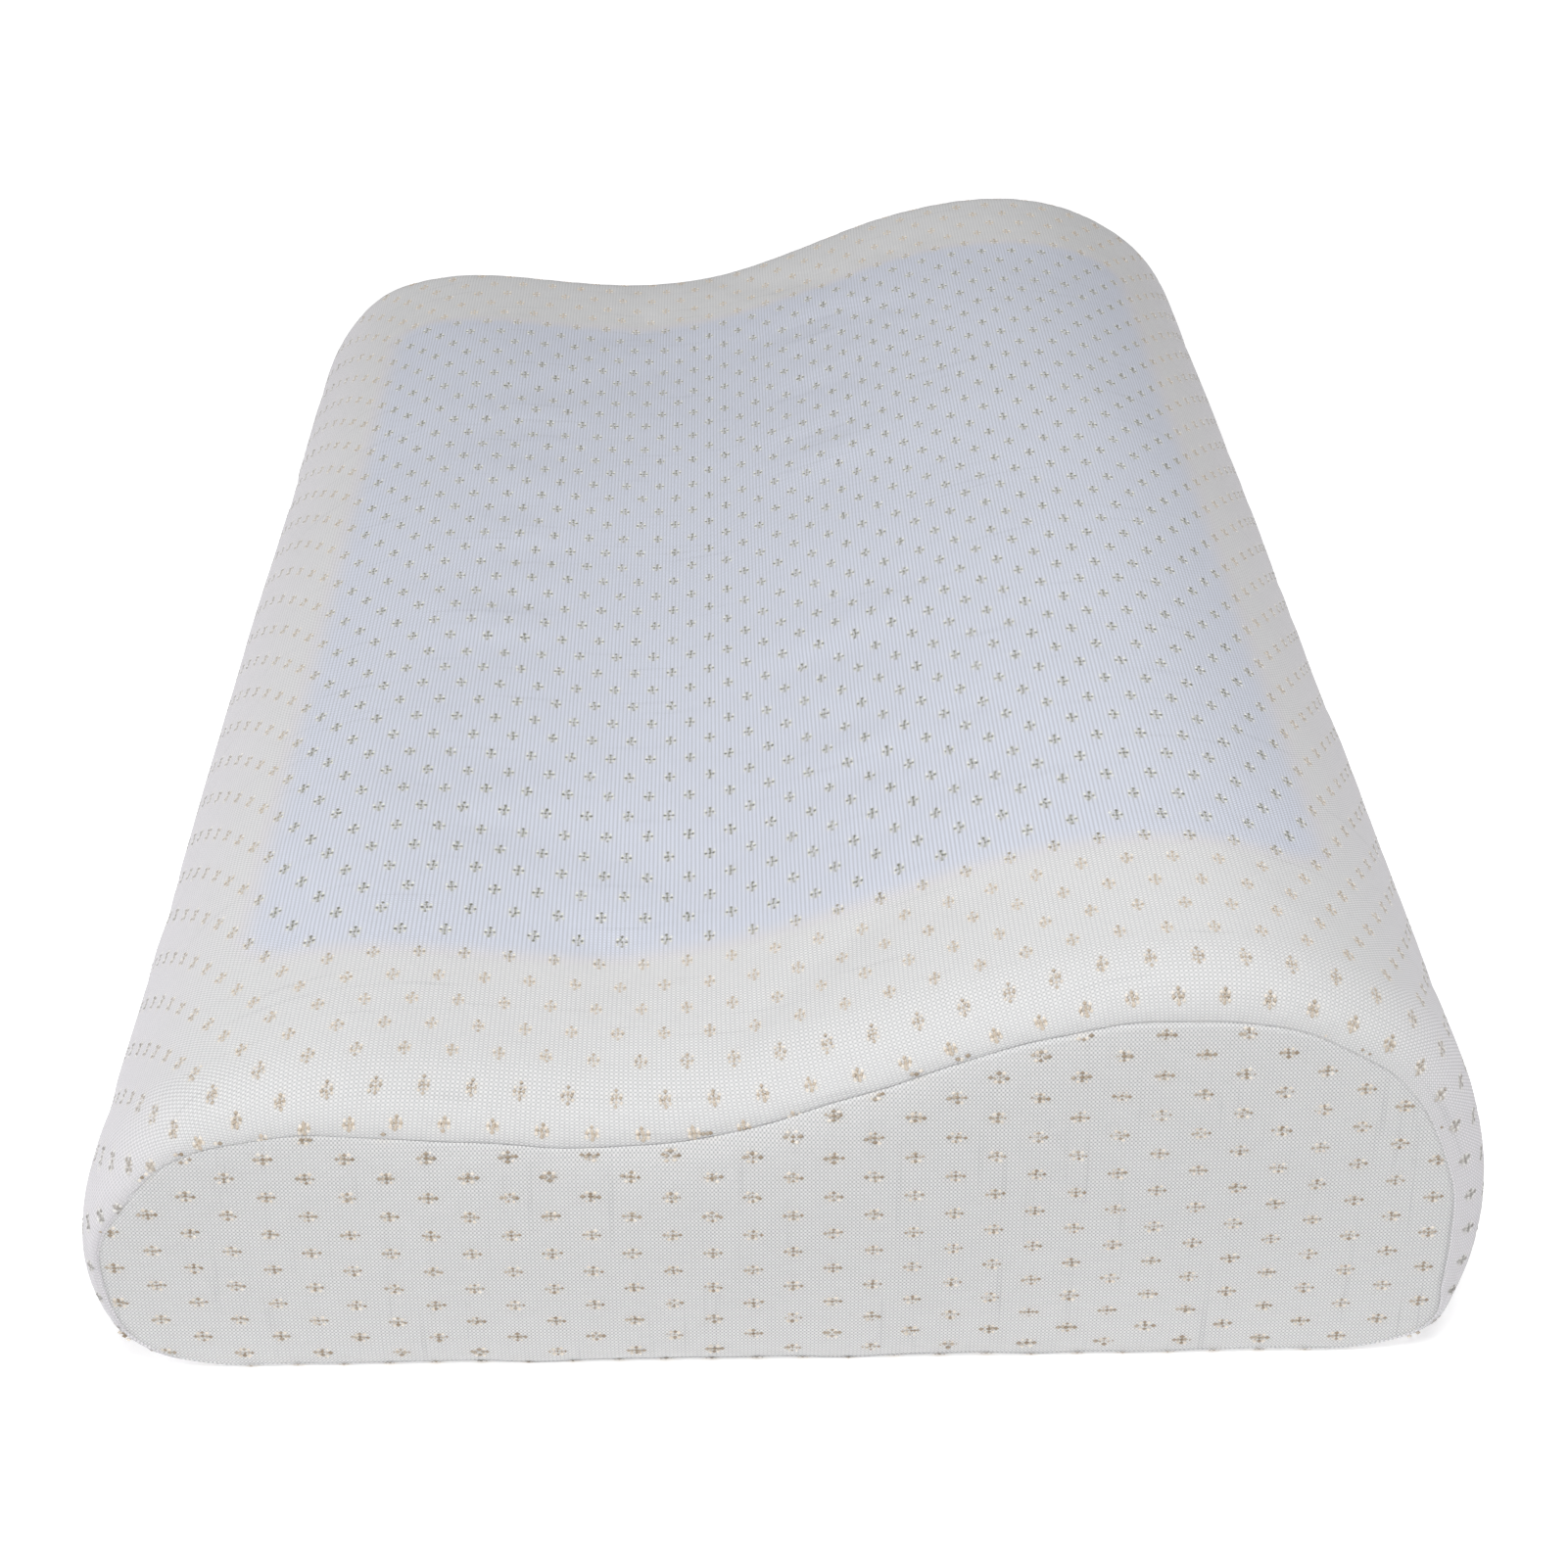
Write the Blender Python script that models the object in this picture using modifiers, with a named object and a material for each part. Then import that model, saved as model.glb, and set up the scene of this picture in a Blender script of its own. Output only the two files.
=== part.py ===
"""Contour cervical pillow with two lobes of unlike height and a shallow dip between them.

One filled body carries the wrap panel (top, long sides and base) with its rolled ends.
Two end panels lie in the sewn-in ends, and a cooling gel pad lies flush in the top.
Frame: metres, +Y along the pillow, +X from the low lobe to the high lobe, +Z up.
The base lies on z = 0 and the pillow is centred on the origin.
"""

import bpy
import bmesh
import numpy as np

MM = 0.001

# Driving dimensions
LENGTH = 500 * MM
SUBDIVISION_LEVEL = 1
MERGE_DISTANCE = 0.05 * MM
PLANE_TOLERANCE = 0.01 * MM

# Cage of the cross-section, from the foot of the low side over the top to the foot of the high side
SECTION = (
    # across, height (mm)
    (-132, 0),
    (-148, 9),
    (-153, 26),
    (-149, 42),
    (-139, 57),
    (-127, 67),
    (-101, 72),
    (-77, 70),
    (-53, 67),
    (-28, 67),
    (-4, 72),
    (19, 81),
    (41, 90),
    (65, 96),
    (89, 98),
    (113, 93),
    (136, 79),
    (145, 64),
    (151, 45),
    (153, 26),
    (148, 6),
    (128, 0),
)
SIDE_EDGES = 5
TOP_EDGES = 11

# The wrap panel rolls over each end before its seam: length of the roll and how far it draws in
ROLL_EXTENT = {"top": 16 * MM, "side": 24 * MM, "base": 6 * MM}
ROLL_INSET = {"top": 10 * MM, "side": 8 * MM, "base": 2 * MM}
ROLL_RINGS = (
    # share of the extent back from the seam, share of the inset
    (0.00, 1.00),
    (0.06, 0.60),
    (0.38, 0.13),
    (0.95, 0.00),
    (2.00, 0.00),
)

# End panels
CLOTH_THICKNESS = 2 * MM
END_CROWN = 4 * MM
PIECE_GAP = 0.35 * MM

# Gel pad: its edges seen from above, corner radius, depth, and the prism that it is cut from
PAD_LOW_EDGE = -122 * MM
PAD_HIGH_EDGE = 123 * MM
PAD_LENGTH = 390 * MM
PAD_CORNER = 12 * MM
PAD_CORNER_STEPS = 4
PAD_THICKNESS = 4 * MM
PRISM_BOTTOM = 30 * MM
PRISM_TOP = 130 * MM

# Colours
COVER_WHITE = (0.80, 0.80, 0.83)
PANEL_WHITE = (0.72, 0.72, 0.74)
GEL_BLUE = (0.45, 0.56, 0.80)


def section_ring():
    """Closed ring of cage points: the SECTION rows, then the base in equal steps back to the start."""
    upper = np.array(SECTION, dtype=float) * MM
    base_x = np.linspace(upper[-1, 0], upper[0, 0], TOP_EDGES + 1)[1:-1]
    base = np.stack([base_x, np.zeros_like(base_x)], axis=1)
    return np.concatenate([upper, base])


def ring_normals(ring):
    """Outward unit normal at each ring point, square to the line between its two neighbours."""
    along = np.roll(ring, -1, axis=0) - np.roll(ring, 1, axis=0)
    normal = np.stack([-along[:, 1], along[:, 0]], axis=1)
    return normal / np.linalg.norm(normal, axis=1, keepdims=True)


def size_by_direction(normal, sizes):
    """Mix the top, side and base value of a size by where the normal points."""
    upward = np.clip(normal[:, 1], 0, 1) ** 2
    downward = np.clip(-normal[:, 1], 0, 1) ** 2
    sideways = normal[:, 0] ** 2
    return upward * sizes["top"] + sideways * sizes["side"] + downward * sizes["base"]


def rolled_ring(back_share, inset_share):
    """Ring of (x, y, z) points on the rolled end at y < 0, drawn in along the section's normals."""
    ring = section_ring()
    normal = ring_normals(ring)
    back = back_share * size_by_direction(normal, ROLL_EXTENT)
    inset = inset_share * size_by_direction(normal, ROLL_INSET)
    flat = ring - normal * inset[:, None]
    return np.stack([flat[:, 0], back - LENGTH / 2, flat[:, 1]], axis=1)


def end_outline(gap):
    """Seam outline of an end as (x, z) points, drawn in by a gap."""
    seam = rolled_ring(*ROLL_RINGS[0])[:, [0, 2]]
    return seam - ring_normals(seam) * gap


def end_patch(outline):
    """Grid of (x, z) points that fills a closed outline: a Coons patch of its four edges.

    Each point is the ruled surface between the base and the top edge, plus the ruled surface
    between the two sides, less the flat patch through the four corners.
    """
    top_end = SIDE_EDGES + TOP_EDGES
    foot = top_end + SIDE_EDGES
    low_side = outline[: SIDE_EDGES + 1]
    top = outline[SIDE_EDGES : top_end + 1]
    high_side = outline[top_end : foot + 1][::-1]
    base = np.concatenate([outline[:1], outline[foot:][::-1]])
    u = np.linspace(0, 1, TOP_EDGES + 1)[:, None, None]
    v = np.linspace(0, 1, SIDE_EDGES + 1)[None, :, None]
    base_to_top = (1 - v) * base[:, None] + v * top[:, None]
    side_to_side = (1 - u) * low_side[None] + u * high_side[None]
    low_corners = (1 - v) * base[0] + v * top[0]
    high_corners = (1 - v) * base[-1] + v * top[-1]
    return base_to_top + side_to_side - (1 - u) * low_corners - u * high_corners


def end_crown():
    """Outward crown over the end patch: zero on its edges and END_CROWN at its middle."""
    u = np.linspace(0, 1, TOP_EDGES + 1)[:, None]
    v = np.linspace(0, 1, SIDE_EDGES + 1)[None, :]
    return END_CROWN * 16 * u * (1 - u) * v * (1 - v)


def end_surface(outline, plane_y):
    """Crowned (x, y, z) points of an end that faces -Y, with its edge in the plane y = plane_y."""
    patch = end_patch(outline)
    return np.stack([patch[..., 0], plane_y - end_crown(), patch[..., 1]], axis=-1)


def grid_faces(rows, columns):
    """Quads of a grid of rows x columns points that are numbered row by row."""
    index = np.arange(rows * columns).reshape(rows, columns)
    quads = np.stack([index[:-1, :-1], index[1:, :-1], index[1:, 1:], index[:-1, 1:]], axis=-1)
    return quads.reshape(-1, 4)


def mesh_from(name, points, faces):
    """Mesh with its doubles welded and its faces turned to one side."""
    mesh = bpy.data.meshes.new(name)
    mesh.from_pydata(points.tolist(), [], faces.tolist())
    work = bmesh.new()
    work.from_mesh(mesh)
    bmesh.ops.remove_doubles(work, verts=work.verts, dist=MERGE_DISTANCE)
    bmesh.ops.recalc_face_normals(work, faces=work.faces)
    work.to_mesh(mesh)
    work.free()
    return mesh


def crease_planes(mesh, planes):
    """Keep sharp every edge that lies in one of the planes y = constant."""
    work = bmesh.new()
    work.from_mesh(mesh)
    crease = work.edges.layers.float.new("crease_edge")
    for edge in work.edges:
        for plane in planes:
            if all(abs(vert.co.y - plane) < PLANE_TOLERANCE for vert in edge.verts):
                edge[crease] = 1.0
    work.to_mesh(mesh)
    work.free()


def body_cage():
    """Near half of the body, open at y = 0: recessed end face, rolled edge and straight run."""
    rolled = [rolled_ring(back, inset) for back, inset in ROLL_RINGS]
    recess = rolled[0] + np.array([0.0, CLOTH_THICKNESS + PIECE_GAP, 0.0])
    middle = rolled[-1] * np.array([1.0, 0.0, 1.0])
    rings = np.array([recess, *rolled, middle])
    wall = np.concatenate([rings, rings[:, :1]], axis=1)
    face = end_surface(end_outline(0.0), recess[0, 1])
    wall_faces = grid_faces(*wall.shape[:2])
    end_faces = grid_faces(*face.shape[:2]) + wall[..., 0].size
    points = np.concatenate([wall.reshape(-1, 3), face.reshape(-1, 3)])
    mesh = mesh_from("body_cage", points, np.concatenate([wall_faces, end_faces]))
    crease_planes(mesh, (-LENGTH / 2, recess[0, 1]))
    return mesh


def smooth_cage(piece):
    """Smooth a coarse cage."""
    rounding = piece.modifiers.new("round the cage", "SUBSURF")
    rounding.levels = SUBDIVISION_LEVEL
    rounding.render_levels = SUBDIVISION_LEVEL


def mirror_ends(piece):
    """Complete a half body with its twin across the plane y = 0."""
    twin = piece.modifiers.new("far half", "MIRROR")
    twin.use_axis = (False, True, False)
    twin.merge_threshold = MERGE_DISTANCE


def boolean(piece, operation, other):
    """Exact Boolean with another object."""
    cut = piece.modifiers.new(f"{operation.lower()} {other.name}", "BOOLEAN")
    cut.operation = operation
    cut.solver = "EXACT"
    cut.object = other


def material(name, colour, roughness):
    """Principled finish of one colour."""
    finish = bpy.data.materials.new(name)
    finish.use_nodes = True
    shader = finish.node_tree.nodes["Principled BSDF"]
    shader.inputs["Base Color"].default_value = (*colour, 1.0)
    shader.inputs["Roughness"].default_value = roughness
    shader.inputs["Metallic"].default_value = 0.0
    finish.diffuse_color = (*colour, 1.0)
    return finish


def add_object(name, mesh, collection, parent, location=(0.0, 0.0, 0.0)):
    """Object at its place, in a collection and under its parent."""
    piece = bpy.data.objects.new(name, mesh)
    piece.location = location
    piece.parent = parent
    collection.objects.link(piece)
    return piece


def add_body_blank(name, cutters, parent, lowered=0.0):
    """Whole body without its pocket, as a cutter, lowered where it shapes an underside."""
    blank = add_object(name, body_cage(), cutters, parent, (0.0, 0.0, -lowered))
    mirror_ends(blank)
    smooth_cage(blank)
    hide_cutter(blank)
    return blank


def hide_cutter(piece):
    """Draw a construction solid as wire and keep it out of renders."""
    piece.hide_render = True
    piece.display_type = "WIRE"


def pad_prism(name, margin):
    """Upright prism with the pad's outline seen from above, widened by a margin all round."""
    prism = bmesh.new()
    bmesh.ops.create_cube(prism, size=1.0)
    width = PAD_HIGH_EDGE - PAD_LOW_EDGE + 2 * margin
    size = (width, PAD_LENGTH + 2 * margin, PRISM_TOP - PRISM_BOTTOM)
    centre = ((PAD_LOW_EDGE + PAD_HIGH_EDGE) / 2, 0.0, (PRISM_TOP + PRISM_BOTTOM) / 2)
    bmesh.ops.scale(prism, vec=size, verts=prism.verts)
    bmesh.ops.translate(prism, vec=centre, verts=prism.verts)
    upright = [edge for edge in prism.edges if edge.verts[0].co.xy == edge.verts[1].co.xy]
    bmesh.ops.bevel(
        prism,
        geom=upright,
        offset=PAD_CORNER + margin,
        segments=PAD_CORNER_STEPS,
        profile=0.5,
        affect="EDGES",
    )
    mesh = bpy.data.meshes.new(name)
    prism.to_mesh(mesh)
    prism.free()
    return mesh


def add_body(parts, cutters, parent):
    """Filled body: rolled ends with recesses for the end panels, and a pocket for the pad."""
    lowered = add_body_blank("pocket_floor", cutters, parent, lowered=PAD_THICKNESS + PIECE_GAP)
    pocket = add_object("pad_pocket", pad_prism("pad_pocket", PIECE_GAP), cutters, parent)
    boolean(pocket, "DIFFERENCE", lowered)
    hide_cutter(pocket)
    body = add_object("pillow_body", body_cage(), parts, parent)
    mirror_ends(body)
    smooth_cage(body)
    boolean(body, "DIFFERENCE", pocket)
    body.data.materials.append(material("cover_knit", COVER_WHITE, 0.9))
    body.data.shade_smooth()


def add_gel_pad(parts, cutters, parent):
    """Gel pad of even depth that follows the top of the body and lies flush with it."""
    blank = add_body_blank("pad_top", cutters, parent)
    lowered = add_body_blank("pad_underside", cutters, parent, lowered=PAD_THICKNESS)
    pad = add_object("gel_pad", pad_prism("gel_pad", 0.0), parts, parent)
    boolean(pad, "INTERSECT", blank)
    boolean(pad, "DIFFERENCE", lowered)
    pad.data.materials.append(material("gel_under_knit", GEL_BLUE, 0.85))


def add_end_panels(parts, parent):
    """Crowned end panel in each end's recess, flush with the seam at its edge."""
    finish = material("end_knit", PANEL_WHITE, 0.9)
    for name, side in (("end_panel_near", -1), ("end_panel_far", 1)):
        grid = end_surface(end_outline(PIECE_GAP), 0.0) * np.array([1.0, -side, 1.0])
        mesh = mesh_from(name, grid.reshape(-1, 3), grid_faces(*grid.shape[:2]))
        face_outwards(mesh, side)
        panel = add_object(name, mesh, parts, parent, (0.0, side * LENGTH / 2, 0.0))
        smooth_cage(panel)
        cloth = panel.modifiers.new("cloth thickness", "SOLIDIFY")
        cloth.thickness = CLOTH_THICKNESS
        cloth.offset = -1.0
        mesh.materials.append(finish)
        mesh.shade_smooth()


def face_outwards(mesh, side):
    """Turn an open grid's faces to the outer side of its end, so that its wall grows inwards."""
    if mesh.polygons[0].normal.y * side < 0:
        mesh.flip_normals()


def main():
    """Clear the scene and build every piece of the pillow."""
    for leftover in list(bpy.data.objects):
        bpy.data.objects.remove(leftover, do_unlink=True)
    parts = bpy.data.collections.new("cervical_pillow")
    cutters = bpy.data.collections.new("cutters")
    for group in (parts, cutters):
        bpy.context.scene.collection.children.link(group)
    frame = bpy.data.objects.new("pillow_frame", None)
    parts.objects.link(frame)
    add_body(parts, cutters, frame)
    add_gel_pad(parts, cutters, frame)
    add_end_panels(parts, frame)


main()
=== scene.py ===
"""Contour cervical pillow: knit cover, end panels, knit-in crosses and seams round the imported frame.

Laid out as an add-on and run as a script. Every surface is worked out with numpy from two
parameters: the place round the section and the place along the cloth. The knit's pattern is
drawn in the cloth's own coordinates, counted in repeats of the crosses, so that the raised
crosses, the dimples and the shader's ribs agree. The sewn form follows the frame's sizes.
"""

import math

import bpy
import numpy as np
from mathutils import Matrix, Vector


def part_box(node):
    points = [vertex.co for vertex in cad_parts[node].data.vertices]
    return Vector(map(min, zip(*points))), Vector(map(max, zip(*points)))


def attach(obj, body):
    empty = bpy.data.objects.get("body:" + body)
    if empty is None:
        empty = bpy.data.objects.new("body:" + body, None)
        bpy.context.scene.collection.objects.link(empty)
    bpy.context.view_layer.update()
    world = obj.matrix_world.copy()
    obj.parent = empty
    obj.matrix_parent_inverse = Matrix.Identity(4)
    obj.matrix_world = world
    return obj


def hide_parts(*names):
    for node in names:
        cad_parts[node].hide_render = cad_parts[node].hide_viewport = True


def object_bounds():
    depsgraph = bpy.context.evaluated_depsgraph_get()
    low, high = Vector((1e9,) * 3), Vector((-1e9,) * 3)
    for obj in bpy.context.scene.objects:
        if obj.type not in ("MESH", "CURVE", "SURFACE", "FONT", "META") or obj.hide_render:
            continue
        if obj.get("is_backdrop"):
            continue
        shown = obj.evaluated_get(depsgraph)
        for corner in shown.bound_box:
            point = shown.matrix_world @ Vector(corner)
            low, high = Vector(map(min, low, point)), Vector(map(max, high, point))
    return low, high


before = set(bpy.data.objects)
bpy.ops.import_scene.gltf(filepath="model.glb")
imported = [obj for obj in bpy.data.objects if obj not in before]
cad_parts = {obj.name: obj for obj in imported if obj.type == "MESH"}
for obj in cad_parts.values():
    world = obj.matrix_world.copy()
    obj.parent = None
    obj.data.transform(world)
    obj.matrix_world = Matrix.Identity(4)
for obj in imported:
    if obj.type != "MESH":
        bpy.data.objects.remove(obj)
CAD_LOW, CAD_HIGH = (list(corner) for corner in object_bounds())

bl_info = {
    "name": "Contour Pillow",
    "version": (1, 0, 0),
    "blender": (4, 5, 0),
    "location": "3D View > Sidebar > Pillow",
    "description": "Builds the knit cover of a contour pillow round its packed frame",
    "category": "Object",
}

MM = 0.001

# Cage of the cross-section, from the foot of the low side over the top to the foot of the high side
SECTION = (
    # across, height (mm)
    (-132, 0),
    (-148, 9),
    (-153, 26),
    (-149, 42),
    (-139, 57),
    (-127, 67),
    (-101, 72),
    (-77, 70),
    (-53, 67),
    (-28, 67),
    (-4, 72),
    (19, 81),
    (41, 90),
    (65, 96),
    (89, 98),
    (113, 93),
    (136, 79),
    (145, 64),
    (151, 45),
    (153, 26),
    (148, 6),
    (128, 0),
)
SIDE_EDGES = 5
TOP_EDGES = 11
ROLL_EXTENT = {"top": 16 * MM, "side": 24 * MM, "base": 6 * MM}
ROLL_INSET = {"top": 10 * MM, "low_side": 6.2 * MM, "high_side": 10 * MM, "base": 0.5 * MM}
CREASE_SHARE = {"top": 1.0, "side": 0.85, "base": 0.17}

# Grid steps of the modelled cloth
TOP_COLUMNS = 262
BASE_COLUMNS = 54
RUN_ROWS = 236
ROLL_ROWS = 12
CREASE_ROWS = 5
GROOVE_ROWS = 2
END_COLUMNS = 150
END_ROWS = 46

# One charted cross: its stitches, counted from its middle
CROSS_CHART = (
    # wale, course, yarn (0 dark, 1 light)
    (0, 2, 0.05),
    (-1, 1, 1.00),
    (0, 1, 0.30),
    (1, 1, 1.00),
    (-1, 0, 0.10),
    (0, 0, 0.00),
    (1, 0, 0.10),
    (-1, -1, 0.85),
    (0, -1, 0.35),
    (1, -1, 0.85),
    (0, -2, 0.20),
)
WALES = 10
COURSES = 20

# Coarse grid on which the cover is settled by cloth simulation
SETTLE_COLUMNS = 116
SETTLE_ROWS = 88
SETTLE_FRAMES = 20


class PillowForm(bpy.types.PropertyGroup):
    """Sizes of the sewn form."""

    length: bpy.props.FloatProperty(
        name="Length",
        description="Distance between the two end seams",
        default=0.500,
        unit="LENGTH",
    )
    crease: bpy.props.FloatProperty(
        name="Seam crease",
        description="Radius of the wrap panel's fold into an end seam",
        default=1.8 * MM,
        unit="LENGTH",
    )
    meeting: bpy.props.FloatProperty(
        name="Seam meeting",
        description="Turn of the wrap panel's fold at which the end panel meets it",
        default=math.radians(27),
        subtype="ANGLE",
    )
    groove: bpy.props.FloatProperty(
        name="Seam depth",
        description="How far the wrap panel turns in behind the end seam",
        default=3.0 * MM,
        unit="LENGTH",
    )
    end_crown: bpy.props.FloatProperty(
        name="End crown",
        description="How far the middle of an end panel stands out",
        default=4.0 * MM,
        unit="LENGTH",
    )
    end_shoulder: bpy.props.FloatProperty(
        name="End shoulder",
        description="Width over which an end panel rises out of its seam",
        default=5.0 * MM,
        unit="LENGTH",
    )
    cloth: bpy.props.FloatProperty(
        name="Cloth thickness",
        description="Thickness of the knit with its backing",
        default=1.6 * MM,
        unit="LENGTH",
    )
    unevenness: bpy.props.FloatProperty(
        name="Unevenness",
        description="Height of the soft waves in the filled cover",
        default=0.4 * MM,
        unit="LENGTH",
    )
    pressure: bpy.props.FloatProperty(
        name="Pressure",
        description="Pressure of the filling in the cloth simulation",
        default=4.0,
    )
    hold: bpy.props.FloatProperty(
        name="Hold",
        description="How firmly the foam holds the cover in the cloth simulation",
        default=0.10,
        subtype="FACTOR",
    )
    settle_cap: bpy.props.FloatProperty(
        name="Settling cap",
        description="Largest move that is kept from the cloth simulation",
        default=0.5 * MM,
        unit="LENGTH",
    )
    dimple: bpy.props.FloatProperty(
        name="Dimple",
        description="Depth to which the cloth draws in round each cross",
        default=0.26 * MM,
        unit="LENGTH",
    )


class PillowKnit(bpy.types.PropertyGroup):
    """Pattern and colours of the knit."""

    repeat_across: bpy.props.FloatProperty(
        name="Repeat across",
        description="Distance between crosses across the ribs",
        default=9.95 * MM,
        unit="LENGTH",
    )
    repeat_along: bpy.props.FloatProperty(
        name="Repeat along",
        description="Distance between crosses along the ribs",
        default=18.45 * MM,
        unit="LENGTH",
    )
    end_repeat_across: bpy.props.FloatProperty(
        name="End repeat across",
        description="Distance between crosses up an end panel",
        default=9.4 * MM,
        unit="LENGTH",
    )
    end_repeat_along: bpy.props.FloatProperty(
        name="End repeat along",
        description="Distance between crosses along an end panel's width",
        default=16.9 * MM,
        unit="LENGTH",
    )
    cloth_colour: bpy.props.FloatVectorProperty(
        name="Cloth",
        description="Colour of the white knit",
        default=(0.802, 0.802, 0.802),
        subtype="COLOR",
    )
    gel_colour: bpy.props.FloatVectorProperty(
        name="Cloth over gel",
        description="Colour of the knit where the gel shows through it",
        default=(0.729, 0.762, 0.860),
        subtype="COLOR",
    )
    border_colour: bpy.props.FloatVectorProperty(
        name="Border of the gel",
        description="Colour of the knit along the gel's edge",
        default=(0.799, 0.783, 0.803),
        subtype="COLOR",
    )
    light_yarn: bpy.props.FloatVectorProperty(
        name="Light yarn",
        description="Lightest yarn of the crosses",
        default=(0.84, 0.76, 0.66),
        subtype="COLOR",
    )
    # Darker than the wrap panel's yarn: partly a warmer yarn colour and partly painted shade on the end panels'
    # raised crosses
    end_yarn_and_shade: bpy.props.FloatVectorProperty(
        name="End yarn",
        description="Darkest yarn of an end panel's crosses",
        default=(0.28, 0.21, 0.135),
        subtype="COLOR",
    )
    wrap_yarn: bpy.props.FloatVectorProperty(
        name="Wrap yarn",
        description="Darkest yarn of the wrap panel's crosses",
        default=(0.48, 0.395, 0.30),
        subtype="COLOR",
    )


class PillowGel(bpy.types.PropertyGroup):
    """Place of the gel pad that shows through the top."""

    softness: bpy.props.FloatProperty(
        name="Edge softness",
        description="Width over which the blue fades out",
        default=13.0 * MM,
        unit="LENGTH",
    )
    corner: bpy.props.FloatProperty(
        name="Corner radius",
        description="Radius of the pad's corners",
        default=14.0 * MM,
        unit="LENGTH",
    )


class PillowStage(bpy.types.PropertyGroup):
    """Camera and lights."""

    camera_place: bpy.props.FloatVectorProperty(
        name="Camera place",
        description="Camera position",
        default=(-0.0116, -0.7418, 0.4248),
        subtype="TRANSLATION",
        precision=4,
    )
    yaw: bpy.props.FloatProperty(
        name="Yaw",
        description="Turn of the view towards the high lobe",
        default=math.radians(1.298),
        subtype="ANGLE",
    )
    pitch: bpy.props.FloatProperty(
        name="Pitch",
        description="Angle by which the camera looks down",
        default=math.radians(29.742),
        subtype="ANGLE",
    )
    lens: bpy.props.FloatProperty(
        name="Lens",
        description="Focal length on a 36 mm wide frame",
        default=67.37 * MM,
        unit="LENGTH",
    )


# Shape of the section


def cage_ring():
    """Closed ring of cage points: the SECTION rows, then the base in equal steps back to the start."""
    upper = np.array(SECTION, dtype=float) * MM
    base_x = np.linspace(upper[-1, 0], upper[0, 0], TOP_EDGES + 1)[1:-1]
    return np.concatenate([upper, np.stack([base_x, np.zeros_like(base_x)], axis=1)])


def cubic_weights(f):
    """The four weights of a uniform cubic B-spline at the share f of its span."""
    return (
        (1 - f) ** 3 / 6,
        (3 * f**3 - 6 * f**2 + 4) / 6,
        (-3 * f**3 + 3 * f**2 + 3 * f + 1) / 6,
        f**3 / 6,
    )


class Outline:
    """The section as a closed B-spline, read by the distance round it from the low foot."""

    STEPS = 6000

    def __init__(self):
        ring = cage_ring()
        place = np.linspace(0, len(ring), self.STEPS + 1)
        first = np.floor(place).astype(int)
        weights = cubic_weights(place - first)
        taps = [w[:, None] * ring[(first + k - 1) % len(ring)] for k, w in enumerate(weights)]
        self.points = sum(taps)
        step = np.linalg.norm(np.diff(self.points, axis=0), axis=1)
        self.distance = np.concatenate([[0], np.cumsum(step)])
        along = np.gradient(self.points, axis=0)
        normal = np.stack([-along[:, 1], along[:, 0]], axis=1)
        self.normals = normal / np.linalg.norm(normal, axis=1, keepdims=True)
        self.length = self.distance[-1]
        corners = (SIDE_EDGES, SIDE_EDGES + TOP_EDGES, 2 * SIDE_EDGES + TOP_EDGES)
        shoulders = np.interp(corners, place, self.distance)
        self.low_shoulder, self.high_shoulder, self.high_foot = shoulders

    def at(self, s):
        """(x, z) and its outward normal at the distances s."""
        s = np.mod(s, self.length)
        point = [np.interp(s, self.distance, self.points[:, k]) for k in (0, 1)]
        normal = [np.interp(s, self.distance, self.normals[:, k]) for k in (0, 1)]
        return np.stack(point, axis=-1), np.stack(normal, axis=-1)


def size_by_direction(normal, sizes):
    """Mix the top, side and base value of a size by the squared parts of the normal."""
    upward = np.clip(normal[..., 1], 0, 1) ** 2
    downward = np.clip(-normal[..., 1], 0, 1) ** 2
    side = sizes.get("side", 0)
    low, high = sizes.get("low_side", side), sizes.get("high_side", side)
    sideways = np.where(normal[..., 0] < 0, low, high) * normal[..., 0] ** 2
    return upward * sizes["top"] + sideways + downward * sizes["base"]


def seam_wander(s):
    """How far a hand-guided seam strays from its line: three sine waves round the section."""
    waves = (
        # waves per metre, phase, reach (mm)
        (17, 0.6, 0.22),
        (29, 2.9, 0.16),
        (46, 4.4, 0.10),
    )
    return sum(reach * MM * np.sin(2 * math.pi * n * s + phase) for n, phase, reach in waves)


def quarter_arc(a, b):
    """Length of a quarter of an ellipse with half axes a and b, by the usual close formula."""
    h = ((a - b) / (a + b)) ** 2
    return math.pi / 4 * (a + b) * (1 + 3 * h / (10 + np.sqrt(4 - 3 * h)))


# Pattern of the cloth. One repeat across and one along are the units of its coordinates, and
# crosses lie where both are whole numbers and where both are halves.

CROSS_SEAT = 0.1610
CROSS_ROW = -0.1209
ROW_SKEW = (-0.65 * MM, -0.173 * MM, 0.0150 * MM)
END_CROSS = (1.4 * MM, 32.3 * MM)


def row_skew(across):
    """Pull of the rows of crosses over the lobes: a cubic in the repeats across."""
    level = np.clip(across, -12, 12)
    return ROW_SKEW[0] * level + ROW_SKEW[1] * level**2 + ROW_SKEW[2] * level**3


def wrap_pattern(knit, s, t):
    """Pattern coordinates of the wrap panel at distance s round it and t along it."""
    across = (s - CROSS_SEAT) / knit.repeat_across
    return across, (t - CROSS_ROW - row_skew(across)) / knit.repeat_along


def wrap_place(knit, across, along):
    """Distances s and t of pattern coordinates: the reverse of wrap_pattern."""
    s = CROSS_SEAT + across * knit.repeat_across
    return s, CROSS_ROW + row_skew(across) + along * knit.repeat_along


def end_pattern(knit, x, z):
    """Pattern coordinates of an end panel: its ribs run across the pillow, so along is x."""
    return (z - END_CROSS[1]) / knit.end_repeat_across, (x - END_CROSS[0]) / knit.end_repeat_along


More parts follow.
